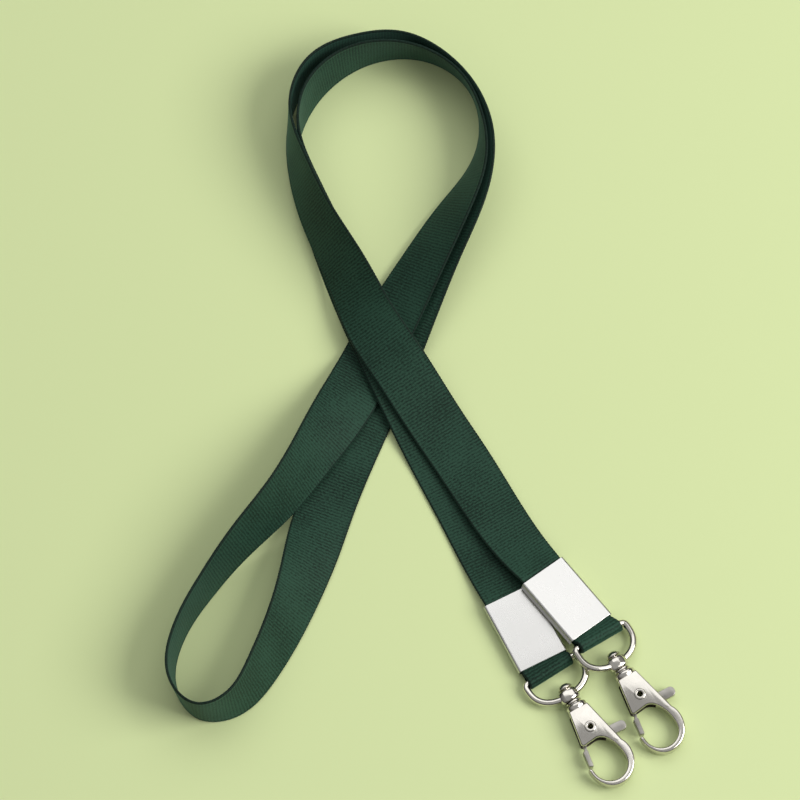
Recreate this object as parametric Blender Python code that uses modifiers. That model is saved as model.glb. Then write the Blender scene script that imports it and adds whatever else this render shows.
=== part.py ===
"""Neck lanyard with two swivel snap hooks, laid down flat.  Millimetres inside, metres out."""
import math

import bmesh
import bpy
import numpy as np
from mathutils import Matrix, Vector

MM = 0.001
CAP_WELD = 0.01                 # joins a curve's loose caps to its sides
ORIGIN = (6.9, -2.7)           # plan point that becomes the world origin

# ---- webbing -------------------------------------------------------------
WEB_W = 15.9                    # width of the webbing: 5/8 inch
WEB_THICK = 0.8
LAYER = 1.2                     # one thickness of webbing and its air gap
WEB_STEP = 3.4                  # spacing of the cross sections
MOUTH_W = 13.7                  # width squeezed together in front of a clamp
EASE = 40.0                     # length over which it widens again
PLY = 0.5                       # each ply's centre from the clamp's mid-plane
LEAD = 1.2                      # the free webbing starts this far in front of a clamp
FOLD_R = 1.6                    # centre of the ply around the D bar
TAIL = 20.0                     # length of the folded-back tail inside the clamp
END_W = 13.6                    # width inside a clamp and round the D bar
LIP = 0.3                       # the plies start to spread this far inside the clamp
WRAP = 118.0                    # degrees of the D bar covered each way from its far side
WRAP_STEPS = 9
DRAG = 0.6                      # share of the D-loop's side shift that the fold follows

# Middle line from the right clamp to the left one: x, y, lift of the lower edge in layers,
# twist in degrees.  0, 180 and so on lie flat, 90, 270 and so on stand on edge.
RISING = [                      # from the clamp, over all the others, up the left side
    (34.5, -46.0, 1.5, -9),
    (27.0, -35.0, 1, -5),
    (18.0, -20.0, 1, -2),
    (8.5, -5.5, 2.5, 2),
    (-0.5, 8.0, 5, 10),
    (-8.0, 20.0, 4, 25),
    (-15.0, 35.0, 3, 45),
    (-23.5, 52.0, 2, 60),
    (-29.0, 67.0, 1.5, 72),
]
OUTER_TOP = [                   # on edge round the top loop, outside
    (-31.5, 83.0, 0, 88),
    (-25.0, 98.5, 0, 93),
    (-12.5, 105.0, 0, 90),
    (0.5, 106.5, 0, 85),
    (12.5, 101.5, 0, 80),
    (22.0, 90.5, 0, 82),
    (25.0, 75.0, 0, 100),
]
LOWEST = [                      # down the right side and under the crossing, on the floor
    (21.0, 60.0, 0, 122),
    (12.5, 44.0, 0, 141),
    (3.0, 25.0, 0, 163),
    (-5.5, 5.0, 0, 180),
    (-14.0, -15.0, 0, 182),
    (-21.5, -35.0, 0, 186),
    (-26.0, -51.0, 0, 212),
]
LOWER_LOOP = [                  # on edge round the lower left loop
    (-31.0, -66.0, 0, 230),
    (-38.0, -81.0, 0, 243),
    (-46.0, -91.0, 0, 258),
    (-55.0, -93.0, 0, 271),
    (-62.0, -85.5, 0, 276),
    (-61.5, -73.0, 0, 276),
    (-53.5, -57.5, 0, 281),
]
RETURNING = [                   # back over the lowest stretch and up the right side
    (-44.0, -45.0, 1.5, 290),
    (-33.5, -33.0, 3, 302),
    (-24.0, -18.0, 2, 317),
    (-14.0, 0.0, 1.5, 349),
    (-4.5, 19.0, 1, 368),
    (5.5, 37.5, 1, 390),
    (15.0, 54.5, 1, 408),
    (21.5, 67.5, 0.5, 428),
]
INNER_TOP = [                   # on edge round the top loop, inside
    (23.0, 81.0, 0, 449),
    (18.5, 94.0, 0, 460),
    (8.0, 102.0, 0, 460),
    (-5.0, 103.5, 0, 452),
    (-17.0, 99.0, 0, 443),
    (-26.0, 89.0, 0, 442),
    (-29.0, 77.0, 0, 452),
]
FALLING = [                     # under the rising stretch and down to the left clamp
    (-26.0, 61.0, 0, 471),
    (-19.5, 44.0, 0, 486),
    (-10.0, 24.0, 1.5, 510),
    (-1.0, 5.5, 3, 533),
    (8.0, -13.0, 0.5, 540),
    (18.0, -33.0, 0, 540),
    (25.0, -48.5, 0.5, 540),
]
ROUTE = RISING + OUTER_TOP + LOWEST + LOWER_LOOP + RETURNING + INNER_TOP + FALLING

# ---- clamps, D-loops, hooks: where each frame stands --------------------------------
CLAMP_L = 21.2
CLAMP_W = 15.0
CLAMP_T = 3.0
SHEET = 0.45
SEAM = 0.4
SHEET_BEND = 0.7                # radius of the sheet's middle at each corner
BAR_U = 2.8                     # D bar beyond the clamp's lower edge
WIRE_R = 1.0
BOSS = (3.5, 6.0, 4.0)         # length, width, height
BOSS_U = 9.2
BORE_R = 1.35
# name: clamp (x, y, z, heading, roll), D (yaw, shift, pitch), hook (x, y, z, heading, pitch, lean)
SIDES = {
    "left": dict(clamp=(39.3, -77.4, 2.0, -63.0, 0.0), d=(6.0, 0.8, -4.0),
                 hook=(48.1, -90.0, 2.7, -62.0, 0.0, 2.5)),
    "right": dict(clamp=(52.5, -68.6, 4.2, -51.0, -12.0), d=(-5.0, 0.6, 5.5),
                  hook=(61.5, -80.9, 3.1, -60.0, 2.0, 2.0)),
}

# ---- hook: (along the axis, to the right) from the collar's centre --------------------------
BODY_H = 2.4                    # half thickness of the body
RING_H = 1.75                   # half thickness of the ring
SLOT_H = 1.4
SLOT_U = (2.5, 12.3)
PIVOT = (7.6, 0.3)
PIN_R = 0.9
# ovals as centre, then radii towards the collar, away from it, to the left and to the right
RIM = ((18.0, 0.2), (7.0, 7.5), (6.1, 7.1))
WINDOW = ((19.0, 0.2), (7.9, 4.9), (5.0, 4.8))
# lever corners as along, right, radius
LEVER_CORNERS = [
    (9.2, 4.4, 0.4), (9.4, 9.6, 1.2), (12.1, 9.6, 1.2), (12.0, 4.8, 0.8), (10.2, 3.4, 1.0),
    (10.2, -2.6, 2.0), (14.6, -4.0, 0.1), (14.6, -4.7, 0.1), (5.1, -2.0, 1.8), (5.1, 2.7, 2.0),
]
ARM_CORNERS = [(12.9, -3.4, 0.2), (17.7, -4.1, 0.2), (17.3, -5.3, 0.2), (12.8, -4.8, 0.2)]
ARC_STEPS = 3

# ---- D-loop wire --------------------------------------------------------------------
D_HALF = 8.6                    # half width at the wire's centre
D_GRIP = 3.6                    # the bar's straight middle reaches this far each way
D_CORNER = 1.3
D_BOW = (2.4, 9.15)             # where the bow starts and ends
D_POWER = 2.3                   # 2 would be an ellipse; more is fuller
BOW_SWEEP = 80.0                # degrees; the boss hides the rest

STEEL = (0.78, 0.78, 0.77)
DARK = (0.55, 0.55, 0.53)


def clear_scene():
    for obj in list(bpy.data.objects):
        bpy.data.objects.remove(obj, do_unlink=True)


clear_scene()
PARTS = bpy.data.collections.new("neck_lanyard")
CUTTERS = bpy.data.collections.new("cutters")
bpy.context.scene.collection.children.link(PARTS)
bpy.context.scene.collection.children.link(CUTTERS)


def paint(obj, colour, rough, metal):
    mat = bpy.data.materials.new(obj.name)
    mat.use_nodes = True
    shader = mat.node_tree.nodes["Principled BSDF"]
    shader.inputs["Base Color"].default_value = (*colour, 1.0)
    shader.inputs["Roughness"].default_value = rough
    shader.inputs["Metallic"].default_value = metal
    obj.data.materials.clear()
    obj.data.materials.append(mat)


def frame(x, y, z, heading=0.0, pitch=0.0, roll=0.0):
    """Millimetre frame: X along the axis, Y to the right, Z up."""
    place = Matrix.Translation(((x - ORIGIN[0]) * MM, (y - ORIGIN[1]) * MM, z * MM))
    turn = Matrix.Rotation(math.radians(heading), 4, "Z")
    nod = Matrix.Rotation(math.radians(pitch), 4, "Y")
    lean = Matrix.Rotation(math.radians(roll), 4, "X")
    return place @ turn @ nod @ lean


def child(base, u=0.0, v=0.0, w=0.0, heading=0.0, pitch=0.0):
    return (base @ Matrix.Translation((u * MM, v * MM, w * MM))
            @ Matrix.Rotation(math.radians(heading), 4, "Z")
            @ Matrix.Rotation(math.radians(pitch), 4, "Y"))


def mesh_object(name, verts, faces, matrix, cutter=False):
    mesh = bpy.data.meshes.new(name)
    mesh.from_pydata([(x * MM, y * MM, z * MM) for x, y, z in verts], [], faces)
    bm = bmesh.new()
    bm.from_mesh(mesh)
    bmesh.ops.recalc_face_normals(bm, faces=bm.faces)
    bm.to_mesh(mesh)
    bm.free()
    obj = bpy.data.objects.new(name, mesh)
    obj.matrix_world = matrix
    (CUTTERS if cutter else PARTS).objects.link(obj)
    if cutter:
        obj.hide_render = True
        obj.display_type = "WIRE"
    return obj


def box(name, lo, hi, matrix):
    """Block between two corners, for cutting or joining."""
    size = [(b - a) * MM for a, b in zip(lo, hi)]
    middle = [(a + b) / 2 * MM for a, b in zip(lo, hi)]
    obj = mesh_object(name, [], [], matrix, True)
    bm = bmesh.new()
    bmesh.ops.create_cube(bm, size=1.0, matrix=Matrix.LocRotScale(middle, None, size))
    bm.to_mesh(obj.data)
    bm.free()
    return obj


def poly_curve(name, points, cyclic):
    """Curve of straight pieces through the points, in millimetres."""
    curve = bpy.data.curves.new(name, "CURVE")
    spline = curve.splines.new("POLY")
    spline.points.add(len(points) - 1)
    for target, p in zip(spline.points, points):
        target.co = (*p, 1.0)
    spline.use_cyclic_u = cyclic
    return curve


def from_curve(name, curve, matrix, cutter):
    """The curve's evaluated shape as a closed mesh in metres; the curve is removed."""
    source = bpy.data.objects.new(name + "_path", curve)
    bpy.context.scene.collection.objects.link(source)
    bpy.context.view_layer.update()
    graph = bpy.context.evaluated_depsgraph_get()
    mesh = bpy.data.meshes.new_from_object(source.evaluated_get(graph))
    bpy.data.objects.remove(source, do_unlink=True)
    obj = mesh_object(name, [], [], matrix, cutter)
    bm = bmesh.new()
    bm.from_mesh(mesh)
    bmesh.ops.remove_doubles(bm, verts=bm.verts, dist=CAP_WELD)
    bmesh.ops.recalc_face_normals(bm, faces=bm.faces)
    bmesh.ops.scale(bm, vec=(MM, MM, MM), verts=bm.verts)
    bm.to_mesh(obj.data)
    bm.free()
    return obj


def plate(name, outline, z0, z1, matrix, cutter=False):
    """Flat outline given as (along, right), extruded from z0 to z1."""
    curve = poly_curve(name, [(u, v, 0.0) for u, v in outline], True)
    curve.dimensions = "2D"
    curve.fill_mode = "BOTH"
    curve.extrude = (z1 - z0) / 2
    obj = from_curve(name, curve, matrix, cutter)
    obj.data.transform(Matrix.Translation((0.0, 0.0, (z0 + z1) / 2 * MM)))
    return obj


def lathe(name, profile, matrix, steps, cutter=False, ring=False):
    """Profile of (radius, height) turned about the frame's Z axis with a Screw modifier.

    A ring's profile is closed on itself and never reaches the axis.
    """
    verts = [(r, 0.0, z) for r, z in profile]
    obj = mesh_object(name, verts, [], matrix, cutter)
    mesh = obj.data
    count = len(profile)
    mesh.edges.add(count if ring else count - 1)
    for i, edge in enumerate(mesh.edges):
        edge.vertices = (i, (i + 1) % count)
    mesh.update()
    mod = obj.modifiers.new("turn", "SCREW")
    mod.steps = steps
    mod.render_steps = steps
    mod.use_merge_vertices = True
    mod.merge_threshold = 0.00001
    mod.use_smooth_shade = False
    return obj


def wire(name, points, radius, matrix, cyclic):
    """Round wire through the points: a bevelled curve turned into a mesh."""
    curve = poly_curve(name, points, cyclic)
    curve.dimensions = "3D"
    curve.bevel_depth = radius
    curve.bevel_resolution = 2
    curve.use_fill_caps = not cyclic
    return from_curve(name, curve, matrix, False)


def bevel(obj, width, segments=2, angle=35.0):
    mod = obj.modifiers.new("edges", "BEVEL")
    mod.width = width * MM
    mod.segments = segments
    mod.limit_method = "ANGLE"
    mod.angle_limit = math.radians(angle)


def boolean(obj, other, operation):
    mod = obj.modifiers.new(operation.lower(), "BOOLEAN")
    mod.operation = operation
    mod.solver = "EXACT"
    mod.object = other


# ---- outlines -----------------------------------------------------------------
def oval(shape, start, stop, steps):
    """Arc of an oval whose four radii differ; 0 degrees points along the axis."""
    (cu, cv), (up, down), (left, right) = shape
    points = []
    for i in range(steps + 1):
        a = math.radians(start + (stop - start) * i / steps)
        ru = down if math.cos(a) > 0 else up
        rv = right if math.sin(a) > 0 else left
        points.append((cu + ru * math.cos(a), cv + rv * math.sin(a)))
    return points


def rounded(corners, steps):
    """Closed outline through the corners, each one rounded to its own radius."""
    points = []
    for i, (u, v, r) in enumerate(corners):
        here = Vector((u, v))
        back = (Vector(corners[i - 1][:2]) - here).normalized()
        ahead = (Vector(corners[(i + 1) % len(corners)][:2]) - here).normalized()
        half = back.angle(ahead) / 2
        centre = here + (back + ahead).normalized() * (r / math.sin(half))
        first = here + back * (r / math.tan(half)) - centre
        last = here + ahead * (r / math.tan(half)) - centre
        begin = math.atan2(first.y, first.x)
        sweep = math.remainder(math.atan2(last.y, last.x) - begin, 2 * math.pi)
        for k in range(steps + 1):
            a = begin + sweep * k / steps
            points.append((centre.x + r * math.cos(a), centre.y + r * math.sin(a)))
    return points


def hook_outline(steps):
    """Flared body, egg-shaped window that is open at the gate, and the ring around it."""
    outline = [(1.2, -3.0), (11.0, -4.4), (11.6, -3.8)]
    outline += oval(WINDOW, 180.0, -90.0, 3 * steps)
    outline += [(18.1, -5.0)]
    outline += oval(RIM, -90.0, 120.0, 2 * steps)
    outline += [(1.0, 2.9)]
    return outline


def d_path(steps):
    """Half of the D: straight bar, rounded corner, then a full bow."""
    path = [(0.0, D_GRIP)]
    for i in range(ARC_STEPS + 1):
        a = math.radians(90.0 * i / ARC_STEPS)
        path.append((D_CORNER * (1 - math.cos(a)), D_HALF - D_CORNER * (1 - math.sin(a))))
    start, stop = D_BOW
    for i in range(steps):
        a = math.radians(BOW_SWEEP * i / (steps - 1))
        path.append((start + (stop - start) * math.sin(a)**(2 / D_POWER),
                     D_HALF * math.cos(a)**(2 / D_POWER)))
    return path


# ---- the webbing -----------------------------------------------------------
def spline(knots, values, where):
    """Natural cubic spline."""
    knots = np.asarray(knots, float)
    values = np.asarray(values, float)
    n = len(knots)
    step = np.diff(knots)
    a = np.zeros((n, n))
    rhs = np.zeros(n)
    a[0, 0] = 1.0
    a[-1, -1] = 1.0
    for i in range(1, n - 1):
        a[i, i - 1] = step[i - 1]
        a[i, i] = 2 * (step[i - 1] + step[i])
        a[i, i + 1] = step[i]
        slope = (values[i + 1] - values[i]) / step[i]
        rhs[i] = 6 * (slope - (values[i] - values[i - 1]) / step[i - 1])
    m = np.linalg.solve(a, rhs)
    k = np.clip(np.searchsorted(knots, where, side="right") - 1, 0, n - 2)
    p = (knots[k + 1] - where) / step[k]
    q = (where - knots[k]) / step[k]
    bend = ((p**3 - p) * m[k] + (q**3 - q) * m[k + 1]) * step[k]**2 / 6
    return p * values[k] + q * values[k + 1] + bend


def rise(width, phi):
    """Height of the webbing's centre over its lowest point at a twist."""
    flat = WEB_THICK / 2 * np.abs(np.cos(phi))
    return width / 2 * np.sqrt(np.sin(phi)**2 + 1e-4) + flat


def mouth_row(side, turns):
    """The route's row just in front of a clamp."""
    x, y, z, heading, roll = SIDES[side]["clamp"]
    spot = frame(x, y, z, heading, 0.0, roll)
    spot = spot @ Vector((-(CLAMP_L + LEAD) * MM, 0.0, PLY * MM)) / MM
    twist = turns + roll
    lift = spot.z - rise(MOUTH_W, math.radians(twist))
    return (spot.x + ORIGIN[0], spot.y + ORIGIN[1], lift, twist)


def route_sections(step):
    """Edge points (left, right) of the webbing between the two clamp mouths."""
    laid = [(x, y, layers * LAYER, twist) for x, y, layers, twist in ROUTE]
    rows = np.array([mouth_row("right", 0)] + laid + [mouth_row("left", 540)], float)
    knots = np.concatenate([[0.0], np.cumsum(np.hypot(*np.diff(rows[:, :2], axis=0).T))])
    where = np.linspace(0.0, knots[-1], int(knots[-1] / step) + 1)
    x, y, lift, twist = [spline(knots, rows[:, i], where) for i in range(4)]
    near = np.minimum(where, knots[-1] - where)
    width = WEB_W - (WEB_W - MOUTH_W) * np.maximum(1 - near / EASE, 0.0)**2
    phi = np.radians(twist)
    lift = np.maximum(lift, 0.0) + 0.02
    centre = np.stack([x, y, lift + rise(width, phi)], 1)
    along = np.gradient(centre, axis=0)
    along /= np.linalg.norm(along, axis=1)[:, None]
    side = np.cross(along, [0.0, 0.0, 1.0])
    side /= np.linalg.norm(side, axis=1)[:, None]
    up = np.cross(side, along)
    across = np.cos(phi)[:, None] * side + np.sin(phi)[:, None] * up
    half = across * width[:, None] / 2
    shift = np.array([ORIGIN[0], ORIGIN[1], 0.0])
    left = (centre - half - shift) * MM
    right = (centre + half - shift) * MM
    return [(Vector(a), Vector(b)) for a, b in zip(left, right)]


def end_sections(base, yaw, shift):
    """Sections from the clamp's mouth, round the D bar and back inside as the tail."""
    skew = -math.tan(math.radians(yaw))
    path = []
    for i in range(6):
        path.append((-CLAMP_L + (CLAMP_L - LIP) * i / 5, PLY, END_W, 0.0))
    path.append((0.35, PLY + 0.04, END_W, 0.15))
    path.append((1.0, PLY + 0.42, END_W, 0.6))
    for i in range(WRAP_STEPS + 1):
        turn = math.radians(WRAP - 2 * WRAP * i / WRAP_STEPS)
        path.append((BAR_U + FOLD_R * math.cos(turn), FOLD_R * math.sin(turn), END_W, 1.0))
    path.append((1.0, -PLY - 0.42, END_W, 0.6))
    path.append((0.35, -PLY - 0.04, END_W, 0.15))
    for i in range(5):
        path.append((-LIP - (TAIL - LIP) * i / 4, -PLY, END_W, 0.0))
    rows = []
    for u, w, width, share in path:
        half = width / 2
        lean = skew * share * half
        off = DRAG * shift * share
        a = base @ Vector(((u - lean) * MM, (off - half) * MM, w * MM))
        b = base @ Vector(((u + lean) * MM, (off + half) * MM, w * MM))
        rows.append((a, b))
    return rows


def build_strap(frames):
    rows = list(reversed(end_sections(frames["right"], *SIDES["right"]["d"][:2])))
    rows += route_sections(WEB_STEP)
    rows += end_sections(frames["left"], *SIDES["left"]["d"][:2])
    verts = [tuple(c / MM for c in p) for row in rows for p in row]
    faces = [(2 * i, 2 * i + 1, 2 * i + 3, 2 * i + 2) for i in range(len(rows) - 1)]
    obj = mesh_object("strap", verts, faces, Matrix())
    mod = obj.modifiers.new("thickness", "SOLIDIFY")
    mod.thickness = WEB_THICK * MM
    mod.offset = 0.0
    mod.use_even_offset = True
    paint(obj, (0.045, 0.085, 0.06), 0.75, 0.0)
    return obj


# ---- hardware ------------------------------------------------------------------------
def build_clamp(name, base):
    """Sheet folded round both plies, its two ends meeting at a seam on the under side."""
    hw = CLAMP_W / 2 - SHEET / 2
    hh = CLAMP_T / 2 - SHEET / 2
    r = SHEET_BEND
    path = [(SEAM / 2, -hh)]
    corners = [(hw - r, -hh + r, -90.0), (hw - r, hh - r, 0.0), (-hw + r, hh - r, 90.0),
               (-hw + r, -hh + r, 180.0)]
    for cv, cw, start in corners:
        for i in range(4):
            a = math.radians(start + 30.0 * i)
            path.append((cv + r * math.cos(a), cw + r * math.sin(a)))
    path.append((-SEAM / 2, -hh))
    n = len(path)
    verts = [(u, v, w) for u in (-CLAMP_L, 0.0) for v, w in path]
    faces = [(i, i + 1, n + i + 1, n + i) for i in range(n - 1)]
    obj = mesh_object(name, verts, faces, base)
    mod = obj.modifiers.new("thickness", "SOLIDIFY")
    mod.thickness = SHEET * MM
    mod.offset = 0.0
    mod.use_even_offset = True
    paint(obj, STEEL, 0.28, 1.0)
    return obj


def build_d_loop(name, base):
    """Closed wire D with a faceted boss, bored along the axis for the swivel rivet."""
    half = d_path(8)
    ring = [(u, v, 0.0) for u, v in half]
    ring += [(u, -v, 0.0) for u, v in reversed(half)]
    ring.append((0.0, 0.0, 0.0))
    obj = wire(name, ring, WIRE_R, base, True)
    bu, bv, bw = (s / 2 for s in BOSS)
    boss = box(name + "_boss", (BOSS_U - bu, -bv, -bw), (BOSS_U + bu, bv, bw), base)
    bevel(boss, 0.6, 1)
    boolean(obj, boss, "UNION")
    axis = child(base, BOSS_U - 6.0, 0.0, 0.0) @ Matrix.Rotation(math.radians(90.0), 4, "Y")
    drill = lathe(name + "_bore", [(0.0, 12.0), (BORE_R, 12.0), (BORE_R, 2.5), (0.0, 2.5)],
                  axis, 20, True)
    boolean(obj, drill, "DIFFERENCE")
    paint(obj, STEEL, 0.2, 1.0)
    return obj


def along_axis(base):
    """Turn a lathe frame so that its Z runs down the axis."""
    return base @ Matrix.Rotation(math.radians(90.0), 4, "Y")


def build_hook(name, base, swivel):
    obj = plate(name, hook_outline(5), -BODY_H, BODY_H, base)
    for vert in obj.data.vertices:
        u = vert.co.x / MM
        share = min(max((u - 10.5) / 5.0, 0.0), 1.0)
        share = share * share * (3 - 2 * share)
        vert.co.z *= 1.0 - share * (1.0 - RING_H / BODY_H)
    bevel(obj, 0.4, 2)
    collar_at = along_axis(swivel) @ Matrix.Diagonal((0.8, 1.0, 1.0, 1.0))
    collar = lathe(name + "_collar",
                   [(0.0, 2.2), (2.4, 2.2), (2.7, 1.3), (3.0, 0.75), (3.0, -0.05), (2.8, -0.3),
                    (1.75, -0.4), (1.75, -0.75), (2.35, -0.95), (2.35, -1.15), (2.2, -1.3),
                    (0.0, -1.3)], collar_at, 20, True)
    boolean(obj, collar, "UNION")
    bore = lathe(name + "_pin_bore",
                 [(0.0, 1.9), (1.05, 1.9), (1.05, -3.0), (0.0, -3.0)], along_axis(swivel), 20,
                 True)
    boolean(obj, bore, "DIFFERENCE")
    slot = box(name + "_slot", (SLOT_U[0], -9.0, -SLOT_H), (SLOT_U[1], 9.0, SLOT_H), base)
    boolean(obj, slot, "DIFFERENCE")
    hole = lathe(name + "_hole", [(0.0, 6.0), (1.25, 6.0), (1.25, -6.0), (0.0, -6.0)],
                 child(base, *PIVOT), 20, True)
    boolean(obj, hole, "DIFFERENCE")
    paint(obj, STEEL, 0.22, 1.0)
    return obj


def build_swivel_rivet(name, swivel):
    profile = [(0.0, 1.75), (PIN_R, 1.75), (PIN_R, -5.4), (2.0, -5.4), (2.1, -5.55),
               (1.85, -6.0), (1.4, -6.5), (0.75, -6.85), (0.0, -6.95)]
    obj = lathe(name, profile, along_axis(swivel), 20)
    paint(obj, DARK, 0.3, 1.0)
    return obj


def build_gate_lever(name, base):
    at = child(base, *PIVOT)
    lever = [(u - PIVOT[0], v - PIVOT[1]) for u, v in rounded(LEVER_CORNERS, ARC_STEPS)]
    obj = plate(name, lever, -1.2, 0.3, at)
    bevel(obj, 0.2, 1)
    tip = [(u - PIVOT[0], v - PIVOT[1]) for u, v in rounded(ARM_CORNERS, 1)]
    arm = plate(name + "_arm", tip, -1.5, 1.5, at, True)
    bevel(arm, 0.3, 1)
    boolean(obj, arm, "UNION")
    hole = lathe(name + "_hole", [(0.0, 3.0), (1.3, 3.0), (1.3, -3.0), (0.0, -3.0)], at, 20,
                 True)
    boolean(obj, hole, "DIFFERENCE")
    paint(obj, DARK, 0.35, 1.0)
    return obj


def build_gate_rivet(name, base):
    profile = [(0.75, 2.68), (1.5, 2.68), (1.6, 2.58), (1.6, 2.46), (1.1, 2.46),
               (1.1, -2.46), (1.6, -2.46), (1.6, -2.58), (1.5, -2.68), (0.75, -2.68)]
    obj = lathe(name, profile, child(base, *PIVOT), 20, ring=True)
    paint(obj, STEEL, 0.2, 1.0)
    return obj


def build_gate_spring(name, base):
    """Torsion spring of one and a quarter turns between the lever and the upper plate."""
    radius = 1.65
    z0 = 0.58
    pitch = 0.4
    start = 48.6
    count = 18
    coil = []
    for i in range(count + 1):
        turn = 450.0 * i / count
        a = math.radians(start + turn)
        coil.append((radius * math.cos(a), radius * math.sin(a), z0 + pitch * turn / 360.0))
    a0 = math.radians(start)
    a1 = math.radians(start + 450.0)
    leg_a = (coil[0][0] + 3.0 * math.sin(a0), coil[0][1] - 3.0 * math.cos(a0), z0)
    leg_b = (coil[-1][0] - 3.0 * math.sin(a1), coil[-1][1] + 3.0 * math.cos(a1), coil[-1][2])
    obj = wire(name, [leg_a] + coil + [leg_b], 0.15, child(base, *PIVOT), False)
    paint(obj, DARK, 0.3, 1.0)
    return obj


def build_all():
    clamps = {}
    for side, spec in SIDES.items():
        x, y, z, heading, roll = spec["clamp"]
        clamps[side] = frame(x, y, z, heading, 0.0, roll)
    build_strap(clamps)
    for side, spec in SIDES.items():
        build_clamp(side + "_clamp", clamps[side])
        yaw, shift, pitch = spec["d"]
        build_d_loop(side + "_d_loop", child(clamps[side], BAR_U, shift, 0.0, yaw, pitch))
        x, y, z, heading, pitch, lean = spec["hook"]
        base = frame(x, y, z, heading, pitch)
        swivel = frame(x, y, z, heading + lean, pitch)
        build_hook(side + "_hook_body", base, swivel)
        build_swivel_rivet(side + "_swivel_rivet", swivel)
        build_gate_lever(side + "_gate_lever", base)
        build_gate_rivet(side + "_gate_rivet", base)
        build_gate_spring(side + "_gate_spring", base)


build_all()
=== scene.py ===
"""Looks of the neck lanyard: ribbed webbing, sheet clamps, wire D-loops and snap hooks."""
import math

import bmesh
import bpy
import numpy as np
from mathutils import Matrix, Vector


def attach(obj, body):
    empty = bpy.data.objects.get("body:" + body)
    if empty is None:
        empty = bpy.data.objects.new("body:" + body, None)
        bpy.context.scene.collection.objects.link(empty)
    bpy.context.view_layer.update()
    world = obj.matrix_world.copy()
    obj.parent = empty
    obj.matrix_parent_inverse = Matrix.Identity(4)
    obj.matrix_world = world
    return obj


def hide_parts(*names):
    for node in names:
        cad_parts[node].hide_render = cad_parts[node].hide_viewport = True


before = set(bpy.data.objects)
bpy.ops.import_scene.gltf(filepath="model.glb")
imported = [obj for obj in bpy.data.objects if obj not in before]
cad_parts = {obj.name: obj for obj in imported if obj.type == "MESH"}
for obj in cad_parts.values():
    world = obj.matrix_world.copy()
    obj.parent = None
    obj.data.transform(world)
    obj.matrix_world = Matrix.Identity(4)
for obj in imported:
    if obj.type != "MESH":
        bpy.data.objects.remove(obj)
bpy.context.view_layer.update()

MM = 0.001
ORIGIN = (6.9, -2.7)

# ---- webbing -------------------------------------------------------------
WEB_W = 15.9                    # width of the webbing: 5/8 inch
WEB_THICK = 0.8
LAYER = 1.2                     # one thickness of webbing and its air gap
RIB = 0.9                       # spacing of the ribs across the webbing
MOUTH_W = 13.7                  # width squeezed together in front of a clamp
EASE = 40.0                     # length over which it widens again
PLY = 0.5                       # each ply's centre from the clamp's mid-plane
LEAD = 1.2                      # the free webbing starts this far in front of a clamp
FOLD_R = 1.6                    # centre of the ply around the D bar
TAIL = 20.0                     # length of the folded-back tail inside the clamp
END_W = 13.6                    # width inside a clamp
FOLD_W = 13.9                   # width round the D bar

# Middle line from the right clamp to the left one: x, y, lift of the lower edge in layers,
# twist in degrees.  0, 180 and so on lie flat, 90, 270 and so on stand on edge.
RISING = [                      # from the clamp, over all the others, up the left side
    (34.5, -46.0, 1.5, -9),
    (27.0, -35.0, 1, -5),
    (18.0, -20.0, 1, -2),
    (8.5, -5.5, 2.5, 2),
    (-0.5, 8.0, 5, 10),
    (-8.0, 20.0, 4, 25),
    (-15.0, 35.0, 3, 45),
    (-23.5, 52.0, 2, 60),
    (-29.0, 67.0, 1.5, 72),
]
OUTER_TOP = [                   # on edge round the top loop, outside
    (-31.5, 83.0, 0, 88),
    (-25.0, 98.5, 0, 93),
    (-12.5, 105.0, 0, 90),
    (0.5, 106.5, 0, 85),
    (12.5, 101.5, 0, 80),
    (22.0, 90.5, 0, 82),
    (25.0, 75.0, 0, 100),
]
LOWEST = [                      # down the right side and under the crossing, on the floor
    (21.0, 60.0, 0, 122),
    (12.5, 44.0, 0, 141),
    (3.0, 25.0, 0, 163),
    (-5.5, 5.0, 0, 180),
    (-14.0, -15.0, 0, 182),
    (-21.5, -35.0, 0, 186),
    (-26.0, -51.0, 0, 212),
]
LOWER_LOOP = [                  # on edge round the lower left loop
    (-31.0, -66.0, 0, 230),
    (-38.0, -81.0, 0, 243),
    (-46.0, -91.0, 0, 258),
    (-55.0, -93.0, 0, 271),
    (-62.0, -85.5, 0, 276),
    (-61.5, -73.0, 0, 276),
    (-53.5, -57.5, 0, 281),
]
RETURNING = [                   # back over the lowest stretch and up the right side
    (-44.0, -45.0, 1.5, 290),
    (-33.5, -33.0, 3, 302),
    (-24.0, -18.0, 2, 317),
    (-14.0, 0.0, 1.5, 349),
    (-4.5, 19.0, 1, 368),
    (5.5, 37.5, 1, 390),
    (15.0, 54.5, 1, 408),
    (21.5, 67.5, 0.5, 428),
]
INNER_TOP = [                   # on edge round the top loop, inside
    (23.0, 81.0, 0, 449),
    (18.5, 94.0, 0, 460),
    (8.0, 102.0, 0, 460),
    (-5.0, 103.5, 0, 452),
    (-17.0, 99.0, 0, 443),
    (-26.0, 89.0, 0, 442),
    (-29.0, 77.0, 0, 452),
]
FALLING = [                     # under the rising stretch and down to the left clamp
    (-26.0, 61.0, 0, 471),
    (-19.5, 44.0, 0, 486),
    (-10.0, 24.0, 1.5, 510),
    (-1.0, 5.5, 3, 533),
    (8.0, -13.0, 0.5, 540),
    (18.0, -33.0, 0, 540),
    (25.0, -48.5, 0.5, 540),
]
ROUTE = RISING + OUTER_TOP + LOWEST + LOWER_LOOP + RETURNING + INNER_TOP + FALLING

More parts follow.
